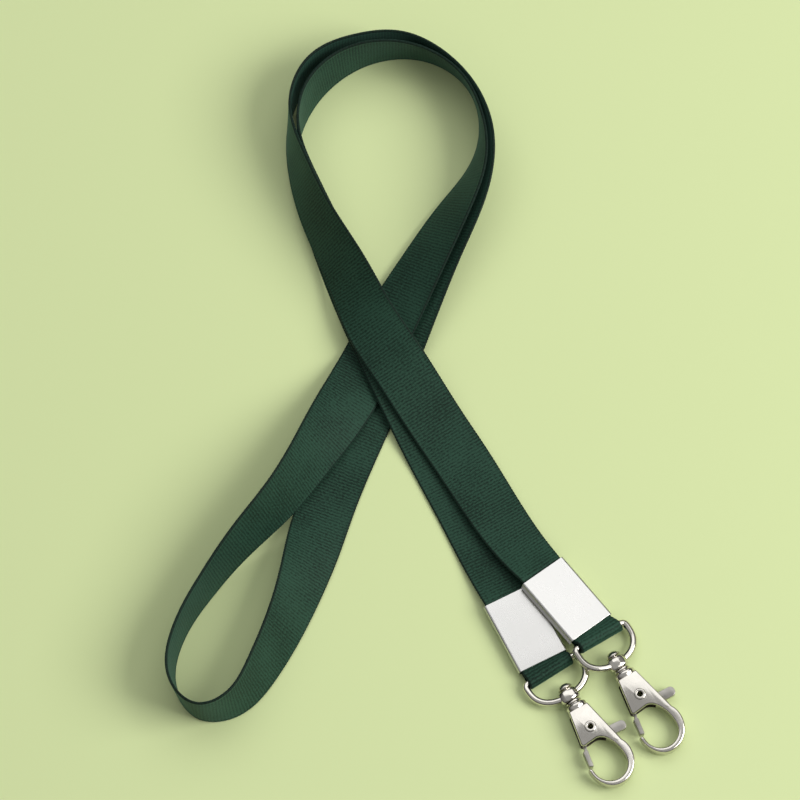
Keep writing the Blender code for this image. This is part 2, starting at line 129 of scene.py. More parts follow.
# ---- hardware places, as in the CAD -----------------------------------------------
CLAMP_L = 21.2
CLAMP_W = 15.0
CLAMP_T = 3.0
SHEET = 0.45
SEAM = 0.4
BAR_U = 2.8
WIRE_R = 1.0
BOSS_U = 9.2
BORE_R = 1.35
SIDES = {
    "left": dict(clamp=(39.3, -77.4, 2.0, -63.0, 0.0), d=(6.0, 0.8, -4.0),
                 hook=(48.1, -90.0, 2.7, -62.0, 0.0, 2.5)),
    "right": dict(clamp=(52.5, -68.6, 4.2, -51.0, -12.0), d=(-5.0, 0.6, 5.5),
                  hook=(61.5, -80.9, 3.1, -60.0, 2.0, 2.0)),
}
BODY_H = 2.4
RING_H = 1.75
SLOT_H = 1.4
SLOT_U = (2.5, 12.3)
PIVOT = (7.6, 0.3)
PIN_R = 0.9
# ovals as centre, then radii towards the collar, away from it, to the left and to the right
RIM = ((18.0, 0.2), (7.0, 7.5), (6.1, 7.1))
WINDOW = ((19.0, 0.2), (7.9, 4.9), (5.0, 4.8))
# lever corners as along, right, radius
LEVER_CORNERS = [
    (9.2, 4.4, 0.4), (9.4, 9.6, 1.2), (12.1, 9.6, 1.2), (12.0, 4.8, 0.8), (10.2, 3.4, 1.0),
    (10.2, -2.6, 2.0), (14.6, -4.0, 0.1), (14.6, -4.7, 0.1), (5.1, -2.0, 1.8), (5.1, 2.7, 2.0),
]
ARM_CORNERS = [(12.9, -3.4, 0.2), (17.7, -4.1, 0.2), (17.3, -5.3, 0.2), (12.8, -4.8, 0.2)]

# ---- D-loop wire --------------------------------------------------------------------
D_HALF = 8.6                    # half width at the wire's centre
D_GRIP = 3.6                    # the bar's straight middle reaches this far each way
D_CORNER = 1.3
D_CORNER_STEPS = 3
D_BOW = (2.4, 9.15)             # where the bow starts and ends
D_POWER = 2.3                   # 2 would be an ellipse; more is fuller
BOW_SWEEP = 80.0                # degrees; the boss hides the rest


# ---- frames ----------------------------------------------------------------------
def place(x, y, z, heading=0.0, pitch=0.0, roll=0.0):
    """Frame with X along the axis, Y to the right, Z up."""
    at = Matrix.Translation(((x - ORIGIN[0]) * MM, (y - ORIGIN[1]) * MM, z * MM))
    turn = Matrix.Rotation(math.radians(heading), 4, "Z")
    nod = Matrix.Rotation(math.radians(pitch), 4, "Y")
    lean = Matrix.Rotation(math.radians(roll), 4, "X")
    return at @ turn @ nod @ lean


def child(base, u=0.0, v=0.0, w=0.0, heading=0.0, pitch=0.0):
    return (base @ Matrix.Translation((u * MM, v * MM, w * MM))
            @ Matrix.Rotation(math.radians(heading), 4, "Z")
            @ Matrix.Rotation(math.radians(pitch), 4, "Y"))


def along_axis(base):
    return base @ Matrix.Rotation(math.radians(90.0), 4, "Y")


# ---- outlines -----------------------------------------------------------------
def oval(shape, start, stop, steps):
    """Arc of an oval whose four radii differ; 0 degrees points along the axis."""
    (cu, cv), (up, down), (left, right) = shape
    points = []
    for i in range(steps + 1):
        a = math.radians(start + (stop - start) * i / steps)
        ru = down if math.cos(a) > 0 else up
        rv = right if math.sin(a) > 0 else left
        points.append((cu + ru * math.cos(a), cv + rv * math.sin(a)))
    return points


def rounded(corners, steps):
    """Closed outline through the corners, each one rounded to its own radius."""
    points = []
    for i, (u, v, r) in enumerate(corners):
        here = Vector((u, v))
        back = (Vector(corners[i - 1][:2]) - here).normalized()
        ahead = (Vector(corners[(i + 1) % len(corners)][:2]) - here).normalized()
        half = back.angle(ahead) / 2
        centre = here + (back + ahead).normalized() * (r / math.sin(half))
        first = here + back * (r / math.tan(half)) - centre
        last = here + ahead * (r / math.tan(half)) - centre
        begin = math.atan2(first.y, first.x)
        sweep = math.remainder(math.atan2(last.y, last.x) - begin, 2 * math.pi)
        for k in range(steps + 1):
            a = begin + sweep * k / steps
            points.append((centre.x + r * math.cos(a), centre.y + r * math.sin(a)))
    return points


def hook_outline(steps):
    """Flared body, egg-shaped window that is open at the gate, and the ring around it."""
    outline = [(1.2, -3.0), (11.0, -4.4), (11.6, -3.8)]
    outline += oval(WINDOW, 180.0, -90.0, 3 * steps)
    outline += [(18.1, -5.0)]
    outline += oval(RIM, -90.0, 120.0, 2 * steps)
    outline += [(1.0, 2.9)]
    return outline


def d_path(steps):
    """Half of the D: straight bar, rounded corner, then a full bow."""
    path = [(0.0, D_GRIP)]
    for i in range(D_CORNER_STEPS + 1):
        a = math.radians(90.0 * i / D_CORNER_STEPS)
        path.append((D_CORNER * (1 - math.cos(a)), D_HALF - D_CORNER * (1 - math.sin(a))))
    start, stop = D_BOW
    for i in range(steps):
        a = math.radians(BOW_SWEEP * i / (steps - 1))
        path.append((start + (stop - start) * math.sin(a)**(2 / D_POWER),
                     D_HALF * math.cos(a)**(2 / D_POWER)))
    return path


# ---- mesh helpers -------------------------------------------------------------
def make(name, verts, faces, matrix=None):
    mesh = bpy.data.meshes.new(name)
    mesh.from_pydata([(x * MM, y * MM, z * MM) for x, y, z in verts], [], faces)
    bm = bmesh.new()
    bm.from_mesh(mesh)
    bmesh.ops.recalc_face_normals(bm, faces=bm.faces)
    bm.to_mesh(mesh)
    bm.free()
    obj = bpy.data.objects.new(name, mesh)
    obj.matrix_world = matrix or Matrix()
    bpy.context.scene.collection.objects.link(obj)
    return obj


def rings_to_mesh(name, rings, matrix, closed_ends=True):
    """Skin over closed rings of equal length; the two ends are capped."""
    n = len(rings[0])
    verts = [p for ring in rings for p in ring]
    faces = []
    for k in range(len(rings) - 1):
        for i in range(n):
            j = (i + 1) % n
            faces.append((k * n + i, k * n + j, (k + 1) * n + j, (k + 1) * n + i))
    if closed_ends:
        faces.append(tuple(range(n)))
        faces.append(tuple(range((len(rings) - 1) * n, len(rings) * n)))
    return make(name, verts, faces, matrix)


def lathe(name, profile, matrix, steps=48, ring=False):
    """Profile of (radius, height) turned about the frame's Z axis."""
    verts = []
    index = []
    for r, z in profile:
        if r < 1e-6:
            index.append([len(verts)] * steps)
            verts.append((0.0, 0.0, z))
        else:
            index.append(list(range(len(verts), len(verts) + steps)))
            for i in range(steps):
                a = 2 * math.pi * i / steps
                verts.append((r * math.cos(a), r * math.sin(a), z))
    faces = []
    pairs = list(zip(index, index[1:]))
    if ring:
        pairs.append((index[-1], index[0]))
    for low, high in pairs:
        for i in range(steps):
            j = (i + 1) % steps
            face = []
            for k in (low[i], low[j], high[j], high[i]):
                if k not in face:
                    face.append(k)
            if len(face) > 2:
                faces.append(tuple(face))
    return make(name, verts, faces, matrix)


def inset(points, distance):
    """Outline moved towards its inside by a distance."""
    after = np.roll(points, -1, axis=0) - points
    before = points - np.roll(points, 1, axis=0)
    after /= np.linalg.norm(after, axis=1)[:, None]
    before /= np.linalg.norm(before, axis=1)[:, None]
    tangent = after + before
    tangent /= np.linalg.norm(tangent, axis=1)[:, None]
    x, y = points[:, 0], points[:, 1]
    area = 0.5 * np.sum(x * np.roll(y, -1) - np.roll(x, -1) * y)
    normal = np.stack([-tangent[:, 1], tangent[:, 0]], 1) * (1 if area > 0 else -1)
    return points + normal * distance


def pillow(name, outline, z0, z1, radius, matrix, seg=4, top=None):
    """Flat outline between z0 and z1 with rounded edges; top(u, v, z) may move each point."""
    pts = np.array(outline, float)
    rings = []
    for sign, z in ((-1, z0), (1, z1)):
        steps = range(seg + 1) if sign < 0 else range(seg, -1, -1)
        for k in steps:
            a = math.pi / 2 * k / seg
            loop = inset(pts, radius * (1 - math.sin(a)))
            zz = z - sign * radius * (1 - math.cos(a))
            rings.append([(u, v, zz) for u, v in loop])
    if top:
        rings = [[top(*p) for p in ring] for ring in rings]
    obj = rings_to_mesh(name, rings, matrix)
    bm = bmesh.new()
    bm.from_mesh(obj.data)
    caps = [f for f in bm.faces if len(f.verts) > 4]
    bmesh.ops.triangulate(bm, faces=caps)
    bm.to_mesh(obj.data)
    bm.free()
    return obj


def tube(name, points, radius, matrix, cyclic, sides=20):
    """Round wire through the points."""
    pts = [Vector(p) for p in points]
    n = len(pts)
    rings = []
    for i, p in enumerate(pts):
        ahead = pts[(i + 1) % n] if cyclic or i < n - 1 else p
        behind = pts[i - 1] if cyclic or i > 0 else p
        t = (ahead - behind).normalized()
        side = t.cross(Vector((0, 0, 1))).normalized()
        up = side.cross(t)
        ring = []
        for k in range(sides):
            a = 2 * math.pi * k / sides
            ring.append(tuple(p + radius * (math.cos(a) * side + math.sin(a) * up)))
        rings.append(ring)
    if cyclic:
        rings.append(rings[0])
    obj = rings_to_mesh(name, rings, matrix, not cyclic)
    bm = bmesh.new()
    bm.from_mesh(obj.data)
    bmesh.ops.remove_doubles(bm, verts=bm.verts, dist=0.000002)
    bmesh.ops.recalc_face_normals(bm, faces=bm.faces)
    bm.to_mesh(obj.data)
    bm.free()
    return obj


def box(name, lo, hi, matrix):
    verts = [(x, y, z) for x in (lo[0], hi[0]) for y in (lo[1], hi[1]) for z in (lo[2], hi[2])]
    faces = [(0, 1, 3, 2), (4, 6, 7, 5), (0, 4, 5, 1), (2, 3, 7, 6), (0, 2, 6, 4), (1, 5, 7, 3)]
    return make(name, verts, faces, matrix)


def bevel(obj, width, segments=3, angle=35.0):
    mod = obj.modifiers.new("edges", "BEVEL")
    mod.width = width * MM
    mod.segments = segments
    mod.limit_method = "ANGLE"
    mod.angle_limit = math.radians(angle)
    mod.harden_normals = False


def apply_all(obj):
    """Replaces the object's mesh by its modified shape."""
    bpy.context.view_layer.update()
    graph = bpy.context.evaluated_depsgraph_get()
    mesh = bpy.data.meshes.new_from_object(obj.evaluated_get(graph))
    obj.modifiers.clear()
    obj.data = mesh


def boolean(obj, other, operation):
    mod = obj.modifiers.new("cut", "BOOLEAN")
    mod.operation = operation
    mod.solver = "EXACT"
    mod.object = other
    apply_all(obj)
    bpy.data.objects.remove(other, do_unlink=True)


def shade(obj, angle=35.0):
    mesh = obj.data
    mesh.polygons.foreach_set("use_smooth", [True] * len(mesh.polygons))
    mesh.set_sharp_from_angle(angle=math.radians(angle))


def flatten(obj):
    """Keeps wide faces flat in shading, so that only the small edge faces look round."""
    mod = obj.modifiers.new("flat", "WEIGHTED_NORMAL")
    mod.keep_sharp = True
    mod.weight = 80
    apply_all(obj)


def hand_in(obj, body, node, material):
    """Puts the piece's place into its mesh, gives it its material, hangs it under its body,
    hides its CAD part.
    """
    obj.data.transform(obj.matrix_world)
    obj.matrix_world = Matrix()
    obj.data.materials.clear()
    obj.data.materials.append(material)
    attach(obj, body)
    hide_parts(node)
    return obj


# ---- materials ------------------------------------------------------------------------
class Nodes:
    """Short hand for building a material's node tree."""

    def __init__(self, name):
        self.material = bpy.data.materials.new(name)
        self.material.use_nodes = True
        self.tree = self.material.node_tree
        self.shader = self.tree.nodes["Principled BSDF"]

    def add(self, kind, **values):
        node = self.tree.nodes.new(kind)
        for key, value in values.items():
            if hasattr(node, key):
                setattr(node, key, value)
            else:
                node.inputs[key.replace("_", " ")].default_value = value
        return node

    def link(self, source, target):
        self.tree.links.new(source, target)

    def math(self, operation, a, b=None, c=None):
        node = self.tree.nodes.new("ShaderNodeMath")
        node.operation = operation
        for i, value in enumerate((a, b, c)):
            if value is None:
                continue
            if isinstance(value, (int, float)):
                node.inputs[i].default_value = value
            else:
                self.link(value, node.inputs[i])
        return node.outputs[0]

    def ramp(self, value, stops):
        node = self.tree.nodes.new("ShaderNodeValToRGB")
        node.color_ramp.elements[0].position = stops[0][0]
        node.color_ramp.elements[0].color = (*stops[0][1], 1)
        node.color_ramp.elements[1].position = stops[-1][0]
        node.color_ramp.elements[1].color = (*stops[-1][1], 1)
        for pos, colour in stops[1:-1]:
            node.color_ramp.elements.new(pos).color = (*colour, 1)
        self.link(value, node.inputs[0])
        return node.outputs[0]

    def mix(self, factor, a, b):
        node = self.tree.nodes.new("ShaderNodeMix")
        node.data_type = "RGBA"
        for value, socket in ((factor, 0), (a, 6), (b, 7)):
            if isinstance(value, (int, float)):
                node.inputs[socket].default_value = value
            elif isinstance(value, tuple):
                node.inputs[socket].default_value = (*value, 1)
            else:
                self.link(value, node.inputs[socket])
        return node.outputs[2]


def webbing_material():
    """Ribbed polyester webbing: ribs across, warp threads along, dark selvedge."""
    n = Nodes("webbing")
    uv = n.add("ShaderNodeUVMap", uv_map="weave")
    split = n.add("ShaderNodeSeparateXYZ")
    n.link(uv.outputs[0], split.inputs[0])
    s, v = split.outputs[0], split.outputs[1]
    wander = n.add("ShaderNodeTexNoise", Scale=0.35, Detail=2.0)
    n.link(uv.outputs[0], wander.inputs["Vector"])
    drift = n.math("MULTIPLY_ADD", wander.outputs[0], 0.5, s)
    rib = n.math("SINE", n.math("MULTIPLY", drift, 2 * math.pi / RIB))
    rib = n.math("MULTIPLY_ADD", rib, 0.5, 0.5)
    thread = n.math("SINE", n.math("MULTIPLY", v, 2 * math.pi / 0.42))
    half_rib = n.math("SINE", n.math("MULTIPLY", drift, math.pi / RIB))
    weave = n.math("MULTIPLY_ADD", n.math("MULTIPLY", thread, half_rib), 0.5, 0.5)
    stretch = n.add("ShaderNodeMapping")
    stretch.inputs["Scale"].default_value = (1.5, 0.9, 1.0)
    n.link(uv.outputs[0], stretch.inputs["Vector"])
    fibre = n.add("ShaderNodeTexNoise", Scale=1.5, Detail=4.0, Roughness=0.65)
    n.link(stretch.outputs[0], fibre.inputs["Vector"])
    broad = n.add("ShaderNodeTexNoise", Scale=0.06, Detail=2.0)
    n.link(uv.outputs[0], broad.inputs["Vector"])
    height = n.math("ADD", n.math("MULTIPLY", rib, 0.17), n.math("MULTIPLY", weave, 0.15))
    height = n.math("MULTIPLY_ADD", fibre.outputs[0], 0.85, height)
    tone = n.math("ADD", n.math("MULTIPLY", height, 0.75),
                  n.math("MULTIPLY", broad.outputs[0], 0.25))
    colour = n.ramp(tone, [(0.38, (0.0018, 0.0080, 0.0045)), (0.5, (0.0062, 0.024, 0.0140)),
                           (0.62, (0.020, 0.062, 0.039))])
    edge = n.math("ABSOLUTE", v)
    selvedge = n.math("SMOOTH_MIN", n.math("MAXIMUM", n.math("SUBTRACT", edge, 7.35), 0.0), 1.0,
                      0.01)
    colour = n.mix(n.math("MINIMUM", n.math("MULTIPLY", selvedge, 3.0), 0.75), colour,
                   (0.002, 0.0065, 0.0045))
    n.link(colour, n.shader.inputs["Base Color"])
    rough = n.math("MULTIPLY_ADD", fibre.outputs[0], 0.2, 0.55)
    n.link(rough, n.shader.inputs["Roughness"])
    n.shader.inputs["Specular IOR Level"].default_value = 0.16
    n.shader.inputs["Sheen Weight"].default_value = 0.22
    n.shader.inputs["Sheen Roughness"].default_value = 0.45
    n.shader.inputs["Sheen Tint"].default_value = (0.35, 0.75, 0.6, 1)
    bump = n.add("ShaderNodeBump", Strength=0.45, Distance=0.00012)
    n.link(height, bump.inputs["Height"])
    n.link(bump.outputs[0], n.shader.inputs["Normal"])
    return n.material


def metal_material(name, colour, rough, grain=0.1, dirt=0.25, brushed=None, scale=900.0):
    """Plated metal: slight tone drift, fine grain, smudges; brushed along one direction."""
    n = Nodes(name)
    coord = n.add("ShaderNodeTexCoord")
    source = coord.outputs["Object"]
    if brushed:
        turn = n.add("ShaderNodeMapping")
        turn.inputs["Rotation"].default_value = (0, 0, math.radians(-brushed))
        n.link(source, turn.inputs["Vector"])
        squeeze = n.add("ShaderNodeMapping")
        squeeze.inputs["Scale"].default_value = (0.04, 1.0, 1.0)
        n.link(turn.outputs[0], squeeze.inputs["Vector"])
        source = squeeze.outputs[0]
    fine = n.add("ShaderNodeTexNoise", Scale=scale * 3, Detail=3.0, Roughness=0.6)
    n.link(source, fine.inputs["Vector"])
    broad = n.add("ShaderNodeTexNoise", Scale=scale * 0.18, Detail=3.0, Roughness=0.55)
    n.link(coord.outputs["Object"], broad.inputs["Vector"])
    dark = tuple(c * (1 - dirt) for c in colour)
    tone = n.ramp(broad.outputs[0], [(0.32, dark), (0.62, colour)])
    tone = n.mix(n.math("MULTIPLY", fine.outputs[0], min(2 * grain, 0.5)), tone,
                 tuple(c * 0.55 for c in colour))
    n.link(tone, n.shader.inputs["Base Color"])
    n.shader.inputs["Metallic"].default_value = 1.0
    r = n.math("MULTIPLY_ADD", fine.outputs[0], 0.05, rough - 0.025)
    r = n.math("MULTIPLY_ADD", broad.outputs[0], 0.10, n.math("SUBTRACT", r, 0.05))
    n.link(r, n.shader.inputs["Roughness"])
    bump = n.add("ShaderNodeBump", Strength=grain, Distance=0.00003)
    n.link(fine.outputs[0], bump.inputs["Height"])
    n.link(bump.outputs[0], n.shader.inputs["Normal"])
    return n.material


# ---- the webbing's mesh ---------------------------------------------------------
def spline(knots, values, where):
    """Natural cubic spline."""
    n = len(knots)
    step = np.diff(knots)
    a = np.zeros((n, n))
    rhs = np.zeros(n)
    a[0, 0] = 1.0
    a[-1, -1] = 1.0
    for i in range(1, n - 1):
        a[i, i - 1] = step[i - 1]
        a[i, i] = 2 * (step[i - 1] + step[i])
        a[i, i + 1] = step[i]
        slope = (values[i + 1] - values[i]) / step[i]
        rhs[i] = 6 * (slope - (values[i] - values[i - 1]) / step[i - 1])
    m = np.linalg.solve(a, rhs)
    k = np.clip(np.searchsorted(knots, where, side="right") - 1, 0, n - 2)
    p = (knots[k + 1] - where) / step[k]
    q = (where - knots[k]) / step[k]
    bend = ((p**3 - p) * m[k] + (q**3 - q) * m[k + 1]) * step[k]**2 / 6
    return p * values[k] + q * values[k + 1] + bend


def rise(width, phi):
    """Height of the webbing's centre over its lowest point at a twist."""
    flat = WEB_THICK / 2 * np.abs(np.cos(phi))
    return width / 2 * np.sqrt(np.sin(phi)**2 + 1e-4) + flat


def mouth_row(side, turns):
    """The route's row just in front of a clamp."""
    x, y, z, heading, roll = SIDES[side]["clamp"]
    spot = place(x, y, z, heading, 0.0, roll)
    spot = spot @ Vector((-(CLAMP_L + LEAD) * MM, 0.0, PLY * MM)) / MM
    twist = turns + roll
    lift = spot.z - rise(MOUTH_W, math.radians(twist))
    return (spot.x + ORIGIN[0], spot.y + ORIGIN[1], lift, twist)


def route_sections():
    """Edge points (left, right) of the webbing between the two clamp mouths."""
    laid = [(x, y, layers * LAYER, twist) for x, y, layers, twist in ROUTE]
    rows = np.array([mouth_row("right", 0)] + laid + [mouth_row("left", 540)], float)
    knots = np.concatenate([[0.0], np.cumsum(np.hypot(*np.diff(rows[:, :2], axis=0).T))])
    where = np.linspace(0.0, knots[-1], int(knots[-1] / 0.4))
    x, y, lift, twist = [spline(knots, rows[:, i], where) for i in range(4)]
    near = np.minimum(where, knots[-1] - where)
    width = WEB_W - (WEB_W - MOUTH_W) * np.maximum(1 - near / EASE, 0.0)**2
    phi = np.radians(twist)
    lift = np.maximum(lift, 0.0) + 0.02
    centre = np.stack([x, y, lift + rise(width, phi)], 1)
    along = np.gradient(centre, axis=0)
    along /= np.linalg.norm(along, axis=1)[:, None]
    side = np.cross(along, [0.0, 0.0, 1.0])
    side /= np.linalg.norm(side, axis=1)[:, None]
    up = np.cross(side, along)
    across = np.cos(phi)[:, None] * side + np.sin(phi)[:, None] * up
    half = across * width[:, None] / 2
    shift = np.array([ORIGIN[0], ORIGIN[1], 0.0])
    return centre - half - shift, centre + half - shift


def end_sections(base, yaw, shift):
    """Upper ply from the clamp's mouth, round the D bar and back inside as the tail."""
    skew = -math.tan(math.radians(yaw))
    path = [(-CLAMP_L + k * 0.4, PLY) for k in range(int(CLAMP_L / 0.4) + 1)]
    path += [(0.3, PLY)]
    arc = [(BAR_U + FOLD_R * math.cos(math.radians(a)), FOLD_R * math.sin(math.radians(a)))
           for a in np.linspace(117.6, -117.6, 30)]
    for k in range(1, 6):
        f = k / 6
        path.append((0.3 + (arc[0][0] - 0.3) * f, PLY + (arc[0][1] - PLY) * f))
    path += arc
    for k in range(1, 6):
        f = k / 6
        path.append((arc[-1][0] + (0.3 - arc[-1][0]) * f,
                     arc[-1][1] + (-PLY - arc[-1][1]) * f))
    path += [(0.3, -PLY)]
    path += [(-k * 0.4, -PLY) for k in range(int(TAIL / 0.4) + 1)]
    path = np.array(path)
    for _ in range(3):
        path[1:-1] = 0.25 * path[:-2] + 0.5 * path[1:-1] + 0.25 * path[2:]
    left = []
    right = []
    for u, w in path:
        share = min(max((u + 0.1) / 2.0, 0.0), 1.0)
        half = (END_W + (FOLD_W - END_W) * share) / 2
        lean = skew * share * half
        off = 0.6 * shift * share
        left.append(tuple(base @ Vector(((u - lean) * MM, (off - half) * MM, w * MM)) / MM))
        right.append(tuple(base @ Vector(((u + lean) * MM, (off + half) * MM, w * MM)) / MM))
    return np.array(left), np.array(right)


def build_webbing(frames):
    rl, rr = end_sections(frames["right"], *SIDES["right"]["d"][:2])
    ml, mr = route_sections()
    ll, lr = end_sections(frames["left"], *SIDES["left"]["d"][:2])
    left = np.concatenate([rl[::-1], ml, ll])
    right = np.concatenate([rr[::-1], mr, lr])
    centre = (left + right) / 2
    run = np.concatenate([[0], np.cumsum(np.linalg.norm(np.diff(centre, axis=0), axis=1))])
    count = int(run[-1] / (RIB / 2))
    want = np.linspace(0, run[-1], count)
    left = np.stack([np.interp(want, run, left[:, i]) for i in range(3)], 1)
    right = np.stack([np.interp(want, run, right[:, i]) for i in range(3)], 1)
    centre = (left + right) / 2
    width = np.linalg.norm(right - left, axis=1)
    across = (right - left) / width[:, None]
    along = np.gradient(centre, axis=0)
    along /= np.linalg.norm(along, axis=1)[:, None]
    normal = np.cross(across, along)
    normal /= np.linalg.norm(normal, axis=1)[:, None]
    h = WEB_THICK / 2
    # (distance from the edge, height share), then even columns over the middle
    rim = [(0.0, 0.0), (0.06, 0.52), (0.22, 0.9), (0.5, 1.0), (0.85, 1.0), (1.05, 0.86),
           (1.3, 0.93)]
    cols = [(-1, d, f) for d, f in rim]
    cols += [(0, k / 7, 0.95) for k in range(1, 7)]
    cols += [(1, d, f) for d, f in reversed(rim)]
    top = cols
    bottom = list(reversed(cols))[1:-1]
    ring = [(c, 1.0) for c in top] + [(c, -1.0) for c in bottom]
    verts = []
    uvs = []
    for i in range(count):
        w = width[i]
        peak = 1.0 if i % 2 else -1.0
        for (side, d, f), sign in ring:
            if side < 0:
                a = -w / 2 + d
            elif side > 0:
                a = w / 2 - d
            else:
                a = (-w / 2 + 1.5) + (w - 3.0) * d
            z = h * f * sign
            if side == 0 or d > 1.0:
                z += sign * 0.008 * peak
            if side and d < 0.3:
                a += side * 0.045 * peak
            p = centre[i] + across[i] * a + normal[i] * z
            verts.append(tuple(p))
            uvs.append((want[i], a * 15.9 / w))
    m = len(ring)
    faces = []
    for i in range(count - 1):
        for k in range(m):
            j = (k + 1) % m
            faces.append((i * m + k, i * m + j, (i + 1) * m + j, (i + 1) * m + k))
    faces.append(tuple(range(m)))
    faces.append(tuple(range((count - 1) * m, count * m)))
    obj = make("strap_webbing", verts, faces)
    layer = obj.data.uv_layers.new(name="weave")
    flat = [0.0] * (2 * len(obj.data.loops))
    for loop in obj.data.loops:
        flat[2 * loop.index], flat[2 * loop.index + 1] = uvs[loop.vertex_index]
    layer.data.foreach_set("uv", flat)
    shade(obj, 60.0)
    return obj, float(run[-1])


# ---- hardware ------------------------------------------------------------------
def build_clamp(name, base):
    hw = CLAMP_W / 2 - SHEET / 2
    hh = CLAMP_T / 2 - SHEET / 2
    r = 0.62
    path = [(SEAM / 2, -hh)]
    corners = [(hw - r, -hh + r, -90.0), (hw - r, hh - r, 0.0), (-hw + r, hh - r, 90.0),
               (-hw + r, -hh + r, 180.0)]
    for cv, cw, start in corners:
        for i in range(9):
            a = math.radians(start + 90.0 * i / 8)
            path.append((cv + r * math.cos(a), cw + r * math.sin(a)))
    path.append((-SEAM / 2, -hh))
    n = len(path)
    cuts = [-CLAMP_L + CLAMP_L * k / 6 for k in range(7)]
    verts = [(u, v, w) for u in cuts for v, w in path]
    faces = [(k * n + i, k * n + i + 1, (k + 1) * n + i + 1, (k + 1) * n + i)
             for k in range(6) for i in range(n - 1)]
    obj = make(name, verts, faces, base)
    mod = obj.modifiers.new("thickness", "SOLIDIFY")
    mod.thickness = SHEET * MM
    mod.offset = 0.0
    mod.use_even_offset = True
    apply_all(obj)
    bevel(obj, 0.1, 2, 60.0)
    apply_all(obj)
    shade(obj, 40.0)
    flatten(obj)
    return obj


def build_d(name, base):
    half = d_path(26)
    pts = [(u, v, 0.0) for u, v in half + [(u, -v) for u, v in reversed(half)]]
    obj = tube(name, pts, WIRE_R, base, True, 24)
    lathe_axis = along_axis(child(base, BOSS_U))
    boss = lathe(name + "_boss", [(0.0, 1.75), (2.3, 1.75), (2.75, 1.35), (3.0, 0.6),
                                  (3.0, -0.6), (2.75, -1.35), (2.3, -1.75), (0.0, -1.75)],
                 lathe_axis @ Matrix.Diagonal((0.66, 1.0, 1.0, 1.0)), 12)
    bevel(boss, 0.18, 2, 15.0)
    apply_all(boss)
    boolean(obj, boss, "UNION")
    drill = lathe(name + "_bore", [(0.0, 6.0), (BORE_R, 6.0), (BORE_R, -6.0), (0.0, -6.0)],
                  lathe_axis, 40)
    boolean(obj, drill, "DIFFERENCE")
    shade(obj, 32.0)
    return obj


def taper(u, v, z):
    share = min(max((u - 10.5) / 5.0, 0.0), 1.0)
    share = share * share * (3 - 2 * share)
    crown = 0.028 * max(0.0, 1.0 - share) * (v - 0.2)**2
    return u, v, z * (1.0 - share * (1.0 - RING_H / BODY_H)) - math.copysign(crown, z)


def build_hook(name, base, swivel):
    obj = pillow(name, hook_outline(14), -BODY_H, BODY_H, 0.6, base, 5, taper)
    collar_at = along_axis(swivel) @ Matrix.Diagonal((0.8, 1.0, 1.0, 1.0))
    collar = lathe(name + "_collar",
                   [(0.0, 2.2), (2.3, 2.2), (2.6, 1.5), (2.85, 0.95), (2.98, 0.75), (3.0, 0.5),
                    (3.0, 0.15), (2.93, -0.1), (2.75, -0.28), (2.2, -0.36), (1.75, -0.45),
                    (1.75, -0.7), (2.2, -0.78), (2.33, -0.88), (2.35, -1.02), (2.3, -1.2),
                    (2.15, -1.3), (0.0, -1.3)], collar_at, 64)
    boolean(obj, collar, "UNION")
    slot = box(name + "_slot", (SLOT_U[0], -9.0, -SLOT_H), (SLOT_U[1], 9.0, SLOT_H), base)
    boolean(obj, slot, "DIFFERENCE")
    hole = lathe(name + "_hole", [(0.0, 6.0), (1.25, 6.0), (1.25, -6.0), (0.0, -6.0)],
                 child(base, *PIVOT), 40)
    boolean(obj, hole, "DIFFERENCE")
    bore = lathe(name + "_bore", [(0.0, 1.9), (1.05, 1.9), (1.05, -3.0), (0.0, -3.0)],
                 along_axis(swivel), 32)
    boolean(obj, bore, "DIFFERENCE")
    shade(obj, 30.0)
    return obj


def build_swivel(name, swivel):
    profile = [(0.0, 1.75), (PIN_R, 1.75), (PIN_R, -5.4), (1.95, -5.4), (2.08, -5.5),
               (2.1, -5.62), (2.02, -5.85), (1.85, -6.1), (1.6, -6.38), (1.25, -6.65),
               (0.85, -6.83), (0.4, -6.93), (0.0, -6.95)]
    obj = lathe(name, profile, along_axis(swivel), 48)
    shade(obj, 40.0)
    return obj


def build_lever(name, base):
    at = child(base, *PIVOT)
    lever = [(u - PIVOT[0], v - PIVOT[1]) for u, v in rounded(LEVER_CORNERS, 10)]
    obj = pillow(name, lever, -1.2, 0.3, 0.09, at, 3)
    tip = [(u - PIVOT[0], v - PIVOT[1]) for u, v in rounded(ARM_CORNERS, 6)]
    arm = pillow(name + "_arm", tip, -1.5, 1.5, 0.15, at, 3)
    boolean(obj, arm, "UNION")
    hole = lathe(name + "_hole", [(0.0, 3.0), (1.3, 3.0), (1.3, -3.0), (0.0, -3.0)], at, 40)
    boolean(obj, hole, "DIFFERENCE")
    shade(obj, 35.0)
    return obj


def build_eyelet(name, base):
    profile = [(0.75, 2.5), (0.82, 2.62), (0.95, 2.68), (1.3, 2.68), (1.5, 2.62), (1.6, 2.5),
               (1.58, 2.46), (1.1, 2.46), (1.1, -2.46), (1.58, -2.46), (1.6, -2.5),
               (1.5, -2.62), (1.3, -2.68), (0.95, -2.68), (0.82, -2.62), (0.75, -2.5)]
    obj = lathe(name, profile, child(base, *PIVOT), 48, True)
    shade(obj, 40.0)
    return obj


